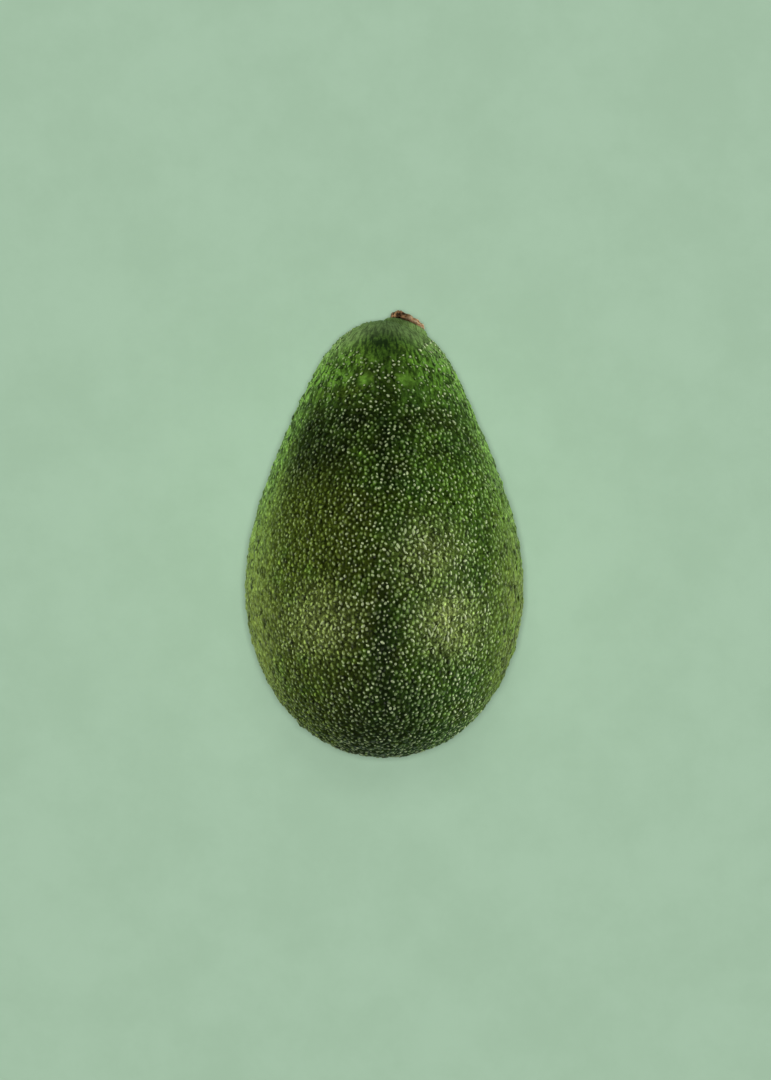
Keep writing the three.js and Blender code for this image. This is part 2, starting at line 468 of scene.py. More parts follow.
@dataclass(frozen=True)
class SkinHue:
    """Where the skin is fresh green, olive or dusky, and where light and shade are painted on it: highlights
    low on both sides of the belly, edge light where it faces sideways and shade along the middle and at the
    blossom end, pebbles and valleys alike.

    A span named for a side is a distance from the fruit's middle plane. The others are places along the skin.
    """

    fresh: Tint = shade(106, 150, 44)
    cool: Tint = shade(86, 134, 52)
    olive: Tint = shade(98, 118, 34)
    # Dusky olive of real patches on the shoulder, also used as painted shade along the middle and at the
    # blossom end.
    dusk_and_shade: Tint = shade(38, 57, 14)
    neck: Tint = shade(94, 138, 50)
    # Painted highlight: the pale grey-green of the highlights low on both sides of the belly.
    highlight_tint: Tint = shade(160, 178, 98)
    # Painted edge light: yellow-green tints of skin that faces sideways, from the blossom end to the neck.
    edge_light_straw: Tint = shade(122, 140, 66)
    edge_light_leaf: Tint = shade(132, 176, 82)
    pale: Tint = shade(228, 241, 188)
    half_width: float = 22 * MM
    shade_band_width: float = 6 * MM
    cork_side: Span = (-18 * MM, -2 * MM)
    cool_side: Span = (-8 * MM, 2 * MM)
    blossom_side: Span = (18 * MM, 6 * MM)
    neck_side: Span = (2 * MM, 13 * MM)
    tip_end: Span = (-0.9, -0.55)
    blossom_start: Span = (-0.4, -0.75)
    belly: tuple[Span, Span] = ((-0.4, -0.15), (0.2, 0.0))
    shoulder: tuple[Span, Span] = ((0.05, 0.3), (0.58, 0.4))
    shoulder_middle: float = 0.3
    neck_start: Span = (0.5, 0.85)
    edge_light_leaf_start: Span = (-0.3, 0.4)
    cloud_rate: float = 60.0
    cool_rate: float = 130.0
    cork_rate: float = 160.0
    patch_rate: float = 190.0
    line_rate: float = 800.0
    dash_rate: float = 850.0
    streak_rate: float = 1000.0
    fleck_rate: float = 1200.0

    def highlight_cheek(self, graph: Graph) -> Socket:
        """Adds the nodes that tell how near a point is to the middle of a painted highlight, from 0 to 1."""
        patch = graph.noise(graph.place(), self.patch_rate, 3.0)
        return graph.product(graph.stored("highlight_cheek"), graph.ramp(patch, 0.3, 0.6, 0.7))

    def corkiness(self, graph: Graph) -> Socket:
        """Adds the nodes that tell how pale specks are.

        Args:
            graph: the material's nodes.

        Returns:
            Their paleness at a point, from 0 to 1.
        """
        place, along = graph.place(), graph.stored("along")
        sided = graph.ramp(graph.part(place, 0), *self.cork_side, 0.3, 1.0)
        cloud = graph.ramp(graph.noise(place, self.cork_rate), 0.35, 0.6, 0.65, 1.0)
        plain = graph.ramp(graph.stored("flank"), 0.0, 1.0, 1.0, 0.3)
        ended = graph.ramp(along, *self.tip_end, 0.6, 1.0)
        from_shoulder = graph.math("ABSOLUTE", graph.math("SUBTRACT", along, self.shoulder_middle))
        return graph.product(sided, cloud, plain, ended, graph.ramp(from_shoulder, 0.0, 0.3, 0.7, 1.0))

    def body(self, graph: Graph) -> Socket:
        """Adds the nodes that pick the colour of the skin at large, with its painted highlights, painted edge
        light and painted shade.

        Args:
            graph: the material's nodes.

        Returns:
            The colour, from where a point is on the fruit.
        """
        place, along, flank = graph.place(), graph.stored("along"), graph.stored("flank")
        side = graph.part(place, 0)
        aside = graph.math("ABSOLUTE", side)
        cloud, patch = (graph.noise(place, rate, 3.0) for rate in (self.cloud_rate, self.patch_rate))
        # Partly real mottling, partly painted light: the right half is painted fresher and lighter, as if lit
        # more strongly from the right.
        greener_and_right_lit = graph.math("ADD", graph.ramp(side, -self.half_width, self.half_width, -0.25, 0.25), cloud)
        mottled = graph.math("MULTIPLY_ADD", patch, 0.8, graph.math("SUBTRACT", greener_and_right_lit, 0.4))
        body = graph.blend(graph.ramp(mottled, 0.3, 0.75), self.olive, self.fresh)
        cooler = graph.product(graph.ramp(graph.noise(place, self.cool_rate), 0.45, 0.6),
                               graph.ramp(side, *self.cool_side, 0.0, 0.5),
                               graph.ramp(flank, 0.0, 0.5, 1.0, 0.0))
        body = graph.blend(cooler, body, self.cool)
        highlight_cheek = self.highlight_cheek(graph)
        # Painted highlight: the skin is painted pale where the softboxes' highlights fall on the sides of the
        # belly.
        body = graph.blend(highlight_cheek, body, self.highlight_tint)

        belly, shoulder = (graph.product(*(graph.ramp(along, *span) for span in spans))
                           for spans in (self.belly, self.shoulder))
        # Painted shade: a dark band along the middle of the top, over the belly.
        ridge = graph.product(graph.ramp(aside, self.shade_band_width, 0.0),
                              graph.ramp(belly, 0.0, 1.0, 0.75, 0.1))
        dusky = graph.product(shoulder, graph.ramp(mottled, 0.8, 0.35), graph.ramp(flank, 0.6, 0.0), 0.85)
        # Painted shade: the middle of the blossom end is darkened.
        ended = graph.product(graph.ramp(along, *self.blossom_start, 0.0, 0.65),
                              graph.ramp(aside, *self.blossom_side, 0.4))
        body = graph.blend(graph.most(dusky, ridge, ended), body, self.dusk_and_shade)
        higher = graph.math("MULTIPLY_ADD", flank, 0.35, graph.math("MULTIPLY_ADD", patch, 0.4, along))
        necked = graph.product(graph.ramp(higher, *self.neck_start),
                               graph.ramp(aside, *self.neck_side, 0.5, 0.9))
        body = graph.blend(necked, body, self.neck)
        # Painted edge light: skin that faces sideways is painted lighter and yellower, as if lit from the
        # sides.
        edge_light = graph.blend(graph.ramp(along, *self.edge_light_leaf_start), self.edge_light_straw, self.edge_light_leaf)
        body = graph.blend(graph.product(flank, graph.ramp(patch, 0.3, 0.6, 0.5, 0.95)), body, edge_light)
        return graph.vector("SCALE", body, self.grain(graph, highlight_cheek, necked))

    def grain(self, graph: Graph, highlight_cheek: Feed, necked: Feed) -> Socket:
        """Adds the nodes that vary the lightness of the skin from place to place, with painted glints in the
        highlights and painted shade as dark dashes on the sides.

        Args:
            graph: the material's nodes.
            highlight_cheek: how near a point is to the middle of a painted highlight, where painted glint
                lines show.
            necked: how much of the smoother neck's streaks shows.

        Returns:
            What the colour is scaled by.
        """
        place, flank = graph.place(), graph.stored("flank")
        line = graph.math("ABSOLUTE", graph.math("SUBTRACT", graph.noise(place, self.line_rate, 1.0), 0.5))
        # Painted glints: thin light curved lines inside the painted highlights.
        glint_line = graph.product(graph.ramp(line, 0.06, 0.0), graph.ramp(highlight_cheek, 0.0, 0.5, 0.5, 1.1))
        fleck = graph.ramp(graph.noise(place, self.fleck_rate, 2.0, 0.6), 0.3, 0.7, 0.4, 1.45)
        fleck = graph.math("ADD", fleck, glint_line)
        streak = graph.noise(graph.stored("meridian", "Vector"), self.streak_rate)
        change = graph.math("SUBTRACT", graph.ramp(streak, 0.4, 0.6, 0.3, 1.55), fleck)
        long = graph.product(graph.most(necked, graph.product(flank, 0.7)), 0.85)
        mixed = graph.math("MULTIPLY_ADD", change, long, fleck)
        short = graph.noise(graph.vector("MULTIPLY", place, (1.0, 0.5, 1.0)), self.dash_rate, 1.0)
        # Painted shade: dark dashes on the sides, for the valleys and pits between pebbles seen edge-on.
        shade_dash = graph.product(graph.ramp(short, 0.4, 0.35), graph.ramp(flank, 0.0, 1.0, 0.25, 0.65))
        return graph.product(mixed, graph.math("SUBTRACT", 1.0, shade_dash))


class Finish(ABC):
    """A material of the part or of the floor."""

    NAME: ClassVar[str]

    @abstractmethod
    def surface(self, graph: Graph) -> dict[str, Feed]:
        """Adds the nodes of the surface, and gives what they feed into its shader."""

    def material(self) -> Material:
        """Builds the material.

        Returns:
            The material, under the finish's name.
        """
        material = bpy.data.materials.new(self.NAME)
        material.use_nodes = True
        graph = Graph(material.node_tree)
        shader = graph.add("ShaderNodeBsdfPrincipled", self.surface(graph))
        graph.add("ShaderNodeOutputMaterial", {"Surface": shader.outputs[0]})
        return material


@dataclass(frozen=True)
class SkinFinish(Finish):
    """Waxy skin between the pebbles, painted nearly black in the valleys as their shade, and smooth green
    flesh at the crown.
    """

    NAME: ClassVar[str] = "skin_wax"
    hue: SkinHue = SkinHue()
    # How dark the painted shade of the valleys is, as a share of the skin's colour.
    valley_shade: float = 0.3
    shadow: Tint = shade(36, 58, 22)
    fresh_patch: Tint = shade(116, 164, 60)
    # Painted sheen: a pale band round the crown where the skin turns sideways.
    rim: Tint = shade(142, 168, 106)
    # Painted shadow: the dark ring on the skin at the foot of the stalk button.
    button_shadow: Tint = shade(36, 34, 16)
    streak_rate: float = 1000.0
    grain_rate: float = 1500.0
    roughness: float = 0.6
    gloss: float = 0.1
    bump_strength: float = 0.35
    bump_depth: float = 0.1 * MM

    def surface(self, graph: Graph) -> dict[str, Feed]:
        """Adds the nodes that read the numbers which the skin's mesh keeps.

        Args:
            graph: the material's nodes.

        Returns:
            What goes into the shader.
        """
        flank = graph.stored("flank")
        streak = graph.noise(graph.stored("meridian", "Vector"), self.streak_rate, 3.0)
        grain = graph.noise(graph.place(), self.grain_rate, 3.0)

        open_skin = graph.product(graph.ramp(graph.stored("along"), 0.3, 0.75),
                                  graph.ramp(streak, 0.38, 0.62, 0.5, 1.0))
        # Painted shade: the skin between the pebbles is darkened as the valleys' shade, less on the neck's
        # streaks, on the sides, in the painted highlights and on calm skin.
        share = graph.most(open_skin, graph.product(flank, 0.5), graph.product(self.hue.highlight_cheek(graph), 0.45),
                           graph.product(graph.stored("calm"), 0.6))
        depth = graph.ramp(share, 0.0, 1.0, self.valley_shade, 1.0)
        body = graph.vector("SCALE", self.hue.body(graph), depth)
        layers = (("brow", graph.ramp(streak, 0.4, 0.6, 1.0, 0.35), self.shadow),
                  ("fresh_patch", graph.ramp(grain, 0.3, 0.7, 0.6, 0.95), self.fresh_patch),
                  # Painted sheen round the crown.
                  ("rim", graph.ramp(streak, 0.3, 0.7, 0.3, 0.8), self.rim),
                  # Painted shadow at the foot of the stalk button.
                  ("button_shadow", 1.0, self.button_shadow))
        for label, strength, tint in layers:
            body = graph.blend(graph.product(graph.stored(label), strength), body, tint)
        body = graph.vector("SCALE", body, graph.ramp(grain, 0.2, 0.8, 0.75, 1.25))

        rough = graph.math("MULTIPLY_ADD", grain, 0.2, self.roughness)
        height = graph.math("MULTIPLY_ADD", streak, 0.3, grain)
        feeds = {"Height": height, "Strength": self.bump_strength, "Distance": self.bump_depth}
        bump = graph.add("ShaderNodeBump", feeds).outputs[0]
        return {"Base Color": body, "Roughness": rough, "Normal": bump, "Specular IOR Level": self.gloss}


@dataclass(frozen=True)
class PebbleFinish(Finish):
    """Waxy green pebbles, whose colour falls off to the painted shade of the valleys round them."""

    NAME: ClassVar[str] = "pebble_wax"
    hue: SkinHue = SkinHue()
    # How dark the painted shade of the valleys is, as a share of the skin's colour.
    valley_shade: float = 0.3
    lighter: float = 0.4
    duller: float = -0.55
    grain_rate: float = 2000.0
    roughness: float = 0.38
    gloss: float = 0.3

    def surface(self, graph: Graph) -> dict[str, Feed]:
        """Adds the nodes that read each pebble's tone and how high each point is on it.

        Args:
            graph: the material's nodes.

        Returns:
            What goes into the shader.
        """
        flank, tone = graph.stored("flank"), graph.stored("tone")
        grain = graph.noise(graph.place(), self.grain_rate)
        crest = graph.math("ADD", grain, graph.math("SUBTRACT", graph.stored("crest"), 0.5))
        spread = graph.ramp(flank, 0.0, 1.0, 1.0, 0.4)
        change = graph.ramp(tone, 0.0, 1.0, self.duller, self.lighter)
        crown = graph.ramp(graph.stored("along"), 0.45, 0.8, 0.0, 0.5)
        # Painted shade: each pebble darkens towards its foot into the valleys, less near the crown, on the
        # sides and in the painted highlights.
        lit = graph.most(graph.ramp(crest, 0.05, 0.75), crown, graph.product(flank, 0.55),
                         graph.product(self.hue.highlight_cheek(graph), 0.45))
        depth = graph.product(graph.math("MULTIPLY_ADD", change, spread, 1.0),
                              graph.ramp(lit, 0.0, 1.0, self.valley_shade, 1.0))
        body = graph.vector("SCALE", self.hue.body(graph), depth)
        corky = graph.product(graph.ramp(crest, 0.3, 0.9), graph.ramp(tone, 0.2, 1.0, 0.0, 0.35), spread,
                              self.hue.corkiness(graph))
        body = graph.blend(corky, body, self.hue.pale)
        return {"Base Color": body, "Roughness": self.roughness, "Specular IOR Level": self.gloss}


@dataclass(frozen=True)
class SpeckFinish(Finish):
    """Corky specks, pale yellow-green to nearly white."""

    NAME: ClassVar[str] = "speck_cork"
    hue: SkinHue = SkinHue()
    grain_rate: float = 3000.0
    roughness: float = 0.5

    def surface(self, graph: Graph) -> dict[str, Feed]:
        """Adds the nodes that read each speck's own tone.

        Args:
            graph: the material's nodes.

        Returns:
            What goes into the shader.
        """
        grain = graph.noise(graph.place(), self.grain_rate)
        tone = graph.math("MULTIPLY_ADD", grain, 0.4, graph.stored("tone"))
        paleness = graph.product(graph.ramp(tone, 0.0, 1.25, 0.1, 1.0), self.hue.corkiness(graph))
        body = graph.blend(paleness, self.hue.body(graph), self.hue.pale)
        return {"Base Color": body, "Roughness": self.roughness}


@dataclass(frozen=True)
class StalkFinish(Finish):
    """Dry wood: dark bark, tan broken wood and cream torn fibres."""

    NAME: ClassVar[str] = "stalk_wood"
    bark: Tint = shade(48, 34, 22)
    wood: Tint = shade(176, 132, 92)
    cream: Tint = shade(214, 188, 150)
    grain_rate: float = 2400.0
    roughness: float = 0.8
    bump_strength: float = 0.8
    bump_depth: float = 0.2 * MM

    def surface(self, graph: Graph) -> dict[str, Feed]:
        """Adds the nodes that read how torn each point is.

        Args:
            graph: the material's nodes.

        Returns:
            What goes into the shader.
        """
        grain = graph.noise(graph.place(), self.grain_rate, 4.0, 0.65)
        worn = graph.math("MULTIPLY_ADD", grain, 0.7, graph.stored("worn"))
        body = graph.blend(graph.ramp(worn, 0.35, 0.8), self.bark, self.wood)
        body = graph.blend(graph.ramp(worn, 0.85, 1.25), body, self.cream)
        feeds = {"Height": grain, "Strength": self.bump_strength, "Distance": self.bump_depth}
        bump = graph.add("ShaderNodeBump", feeds).outputs[0]
        return {"Base Color": body, "Roughness": self.roughness, "Normal": bump}


@dataclass(frozen=True)
class FloorFinish(Finish):
    """Matt pale green card, faintly uneven."""

    NAME: ClassVar[str] = "pale_card"
    card: Tint = shade(162, 192, 165)
    faded: Tint = shade(174, 204, 178)
    cloud_rate: float = 30.0
    roughness: float = 0.9
    gloss: float = 0.2

    def surface(self, graph: Graph) -> dict[str, Feed]:
        """Adds the nodes of the card, and gives what they feed into its shader."""
        cloud = graph.ramp(graph.noise(graph.place(), self.cloud_rate, 8.0, 0.7), 0.35, 0.65, 0.0, 0.4)
        body = graph.blend(cloud, self.card, self.faded)
        return {"Base Color": body, "Roughness": self.roughness, "Specular IOR Level": self.gloss}


class Half(Enum):
    """A half of the fruit, with pebbles and specks of its own: its range along the skin."""

    BELLY = (-1.1, -0.05)
    NECK = (-0.05, 1.1)


@dataclass
class Skin:
    """The fruit's surface with its pebbles, and the specks that sit on them."""

    fruit: Fruit
    steps: int = 120
    spacing: float = 1.06 * MM
    jitter: float = 0.28 * MM
    densest: float = 6e6
    streak_radius: float = 22 * MM
    streak_stretch: float = 0.35
    pebble_radius: float = 0.64 * MM
    pebble_height: float = 0.17 * MM
    pebble_drop: float = 1.6
    pebble_sides: int = 8
    pebble_stretch: float = 1.35
    pebble_widths: Span = (0.8, 1.1)
    pebble_heights: Span = (0.7, 1.3)
    speck_radius: float = 0.29 * MM
    speck_share: float = 0.85
    speck_lift: float = 0.85
    speck_flatness: float = 0.45
    speck_widths: Span = (0.45, 1.25)
    speck_lengths: Span = (0.9, 2.0)
    speck_turns: Span = (-1.2, 1.2)
    flank_facing: Span = (0.66, 0.96)
    highlight_cheek_facing: Span = (0.0, 0.3)
    highlight_cheek_radius: float = 15 * MM
    # Middles of the painted highlights, across and along, with their strengths.
    highlight_cheeks: tuple[Triple, ...] = (
        (16 * MM, -22 * MM, 1.0), (11 * MM, -5 * MM, 0.7), (-16 * MM, -22 * MM, 0.6))
    calm_share: float = 0.8
    calm_collar: Span = (11 * MM, 7 * MM)
    calm_brow: Span = (12 * MM, 8 * MM)
    brow_edge: Span = (12 * MM, 4 * MM)
    brow_from_crown: float = 14 * MM
    patch_from_crown: float = 31 * MM
    patch_angle: float = math.radians(76)
    patch_edge: Span = (2.9 * MM, 0.58 * MM)
    sheen_low: Span = (-0.3, 0.1)
    sheen_high: Span = (0.72, 0.45)
    sheen_from_crown: Span = (26 * MM, 14 * MM)
    button_shadow_edge: Span = (5.4 * MM, 4.6 * MM)

    def base(self, name: str) -> Object:
        """Makes the smooth, lumpy skin.

        Args:
            name: the piece's name.

        Returns:
            The piece, with the numbers that nodes and materials read.
        """
        directions, squares = ball_grid(self.steps)
        points, normals = self.fruit.place(directions)
        share = np.arccos(np.clip(-directions[:, 1], -1, 1)) / math.pi
        from_crown = (1 - share) * self.fruit.arc[-1]

        def away(place: Array) -> Array:
            """How far each point is from a place."""
            return np.linalg.norm(points - np.asarray(place), axis=1)

        from_stalk = away(self.fruit.seat().translation)
        from_brow = away(self.fruit.spot(self.brow_from_crown, math.pi / 2)[0])
        patch_angles = (self.patch_angle, math.pi - self.patch_angle)
        from_patch = np.minimum(*(away(self.fruit.spot(self.patch_from_crown, angle)[0])
                                  for angle in patch_angles))
        calm = np.maximum(smooth(from_brow, *self.calm_brow), smooth(from_stalk, *self.calm_collar))
        right, forward, strength = np.array(self.highlight_cheeks).T[..., None]
        from_highlight_cheek = np.hypot(points[:, 0] - right, points[:, 1] - forward)
        highlight_cheek = np.max(strength * smooth(from_highlight_cheek, self.highlight_cheek_radius, 0.0), axis=0)
        girth = np.hypot(directions[:, 0], directions[:, 2]).clip(1e-6)
        meridian = directions / girth[:, None] * self.streak_radius
        meridian[:, 1] = self.streak_stretch * from_crown
        # The band of painted sheen: skin near the crown that faces sideways and a little up.
        sheen_band = smooth(normals[:, 2], *self.sheen_low) * smooth(normals[:, 2], *self.sheen_high)

        ripple = self.fruit.ripple(points) * (1 - self.calm_share * calm)
        height = self.fruit.lump(directions) + ripple + self.fruit.collar(from_stalk)
        piece = piece_of(name, points + normals * height[:, None], squares)
        numbers = {
            "along": 2 * share - 1,
            # Where the skin faces sideways: there it carries painted edge light, and its valleys are painted
            # less dark.
            "flank": smooth(np.abs(normals[:, 0]), *self.flank_facing),
            # Where highlights are painted, on skin that faces up only.
            "highlight_cheek": highlight_cheek * smooth(normals[:, 2], *self.highlight_cheek_facing),
            "meridian": meridian,
            "calm": calm,
            "brow": smooth(from_brow, *self.brow_edge),
            "fresh_patch": smooth(from_patch, *self.patch_edge),
            # Painted sheen: a pale band round the crown.
            "rim": sheen_band * smooth(from_crown, *self.sheen_from_crown),
            # Painted shadow: a dark ring round the foot of the stalk button.
            "button_shadow": smooth(from_stalk, *self.button_shadow_edge),
        }
        for label, values in numbers.items():
            keep_numbers(piece, label, values)
        return piece

    def rule(self, name: str, finish: Finish, **own: object) -> Rule:
        """Starts a tree with the inputs that pebbles and specks share, and some of its own."""
        return Rule(name, {"Spacing": self.spacing, "Jitter": self.jitter, "Height": self.pebble_height,
                           "From": Half.BELLY.value[0], "To": Half.NECK.value[1], "Seed": Draw.PLACE.value,
                           "Material": finish.material(), **own})

    def scattered(self, rule: Rule) -> tuple[Socket, Socket, Socket]:
        """Scatters one point for each pebble of one half.

        Args:
            rule: the tree, which starts from the skin.

        Returns:
            The points, the same in every tree that starts from the same skin, with the way out of the skin
            there, and a turn that takes +Z that way and +Y along the fruit.
        """
        graph = rule.graph
        crowd = graph.product(graph.math("SUBTRACT", 1.0, rule.own("calm")),
                              graph.math("SUBTRACT", 1.0, rule.own("fresh_patch")),
                              graph.ramp(rule.own("along"), 0.9, 0.2, 0.45, 1.0))
        feeds = {"Mesh": rule.given("Geometry"), "Distance Min": rule.given("Spacing"),
                 "Density Max": self.densest, "Density Factor": crowd, "Seed": rule.given("Seed")}
        spread = graph.add("GeometryNodeDistributePointsOnFaces", feeds, distribute_method="POISSON")
        below, above = (graph.add("FunctionNodeCompare", {0: rule.own("along"), 1: rule.given(end)},
                                  operation=test).outputs[0]
                        for end, test in (("From", "LESS_THAN"), ("To", "GREATER_EQUAL")))
        outside = graph.add("FunctionNodeBooleanMath", {0: below, 1: above}, operation="OR").outputs[0]
        feeds = {"Geometry": spread.outputs["Points"], "Selection": outside}
        ours = graph.add("GeometryNodeDeleteGeometry", feeds).outputs[0]

        normal = spread.outputs["Normal"]
        feeds = {0: (-1.0, -1.0, -1.0), 1: (1.0, 1.0, 1.0), "Seed": Draw.SHIFT.value}
        shift = graph.add("FunctionNodeRandomValue", feeds, data_type="FLOAT_VECTOR").outputs[0]
        level = graph.vector("SUBTRACT", shift, graph.vector("PROJECT", shift, normal))
        feeds = {"Geometry": ours, "Offset": graph.vector("SCALE", level, rule.given("Jitter"))}
        moved = graph.add("GeometryNodeSetPosition", feeds)
        lengthways = (0.0, math.cos(self.fruit.droop), -math.sin(self.fruit.droop))
        feeds = {"Rotation": spread.outputs["Rotation"], "Vector": lengthways}
        turned = graph.add("FunctionNodeAlignRotationToVector", feeds, axis="Y", pivot_axis="Z")
        return moved.outputs[0], normal, turned.outputs[0]

    def pebbles(self) -> Rule:
        """Grows a low round pebble at each scattered point.

        Returns:
            The tree, which turns a skin into its pebbles.
        """
        rule = self.rule("pebbles", PebbleFinish(), Radius=self.pebble_radius, Sides=self.pebble_sides,
                         Stretch=self.pebble_stretch)
        graph = rule.graph
        points, _, rotation = self.scattered(rule)
        feeds = {"Vertices": rule.given("Sides"), "Side Segments": 2, "Radius Bottom": rule.given("Radius"),
                 "Depth": 1.0}
        cone = graph.add("GeometryNodeMeshCone", feeds, fill_type="NONE")
        place = graph.add("GeometryNodeInputPosition").outputs[0]
        flat = graph.vector("MULTIPLY", place, (1.0, 1.0, 0.0))
        reach = graph.math("DIVIDE", graph.vector("LENGTH", flat), rule.given("Radius"))
        marked = rule.keep(cone.outputs[0], "crest", graph.math("SUBTRACT", 1.0, reach))
        sunk = graph.math("MULTIPLY_ADD", graph.math("POWER", reach, 2.0), -self.pebble_drop, 1.0)
        rise = graph.join(0.0, 0.0, graph.product(sunk, rule.given("Height")))
        feeds = {"Geometry": marked, "Position": graph.vector("ADD", flat, rise)}
        dome = graph.add("GeometryNodeSetPosition", feeds).outputs[0]

        along = rule.own("along")
        stretch = graph.math("SUBTRACT", rule.given("Stretch"), 1.0)
        longer = graph.math("ADD", 1.0, graph.product(stretch, graph.ramp(along, 0.7, 0.2)))
        wide = graph.product(rule.chance(Draw.WIDTH, self.pebble_widths),
                             graph.ramp(along, 0.35, 0.8, 1.0, 0.75))
        high = rule.chance(Draw.PEBBLE_HEIGHT, self.pebble_heights)
        rule.end({"Points": points, "Instance": dome, "Rotation": rotation,
                  "Scale": graph.join(wide, graph.product(wide, longer), high)}, Draw.PEBBLE_TONE)
        return rule

    def specks(self) -> Rule:
        """Grows a corky speck on top of most pebbles.

        Returns:
            The tree, which turns a skin into its specks.
        """
        rule = self.rule("corky_specks", SpeckFinish(), Radius=self.speck_radius)
        graph = rule.graph
        points, normal, rotation = self.scattered(rule)
        lift = graph.vector("SCALE", normal, graph.product(rule.given("Height"), self.speck_lift))
        stood = graph.add("GeometryNodeSetPosition", {"Geometry": points, "Offset": lift})
        feeds = {"Probability": self.speck_share, "Seed": Draw.SPECK_KEPT.value}
        kept = graph.add("FunctionNodeRandomValue", feeds, data_type="BOOLEAN").outputs[3]
        ball = graph.add("GeometryNodeMeshIcoSphere", {"Radius": rule.given("Radius"), "Subdivisions": 1})
        width = graph.product(rule.chance(Draw.WIDTH, self.speck_widths),
                              graph.ramp(rule.own("flank"), 0.0, 1.0, 1.0, 0.6))
        # Inside the painted highlights the specks are drawn longer, as painted glints.
        long = graph.product(width, rule.chance(Draw.SPECK_LENGTH, self.speck_lengths),
                             graph.math("ADD", rule.own("highlight_cheek"), 1.0))
        wild = graph.join(0.0, 0.0, rule.chance(Draw.SPECK_TURN, self.speck_turns))
        turned = graph.add("FunctionNodeRotateRotation", {0: rotation, 1: wild}, rotation_space="LOCAL")
        thin = graph.product(width, self.speck_flatness)
        rule.end({"Points": stood.outputs[0], "Selection": kept, "Instance": ball.outputs[0],
                  "Rotation": turned.outputs[0], "Scale": graph.join(width, long, thin)}, Draw.SPECK_TONE)
        return rule

    def flatten(self, piece: Object) -> None:
        """Presses what is below the surface that the fruit lies on up to it.

        Args:
            piece: a piece of the skin.
        """
        points = np.empty(len(piece.data.vertices) * 3, dtype=np.float32)
        piece.data.vertices.foreach_get("co", points)
        points[2::3] = np.maximum(points[2::3], 0.0)
        piece.data.vertices.foreach_set("co", points)
        piece.data.update()

    def build(self) -> list[Object]:
        """Builds the skin, its pebbles and its specks.

        Returns:
            The pieces.
        """
        skin = self.base("avocado_skin")
        skin.data.materials.append(SkinFinish().material())
        pieces = [skin]
        rules = {"pebbles": self.pebbles(), "specks": self.specks()}
        for half, (kind, rule) in product(Half, rules.items()):
            piece = self.base(f"{half.name.lower()}_{kind}")
            rule.grow(piece, dict(zip(("From", "To"), half.value)))
            pieces.append(piece)
        for piece in pieces:
            self.flatten(piece)
            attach(piece, "root")
        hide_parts("fruit")
        return pieces


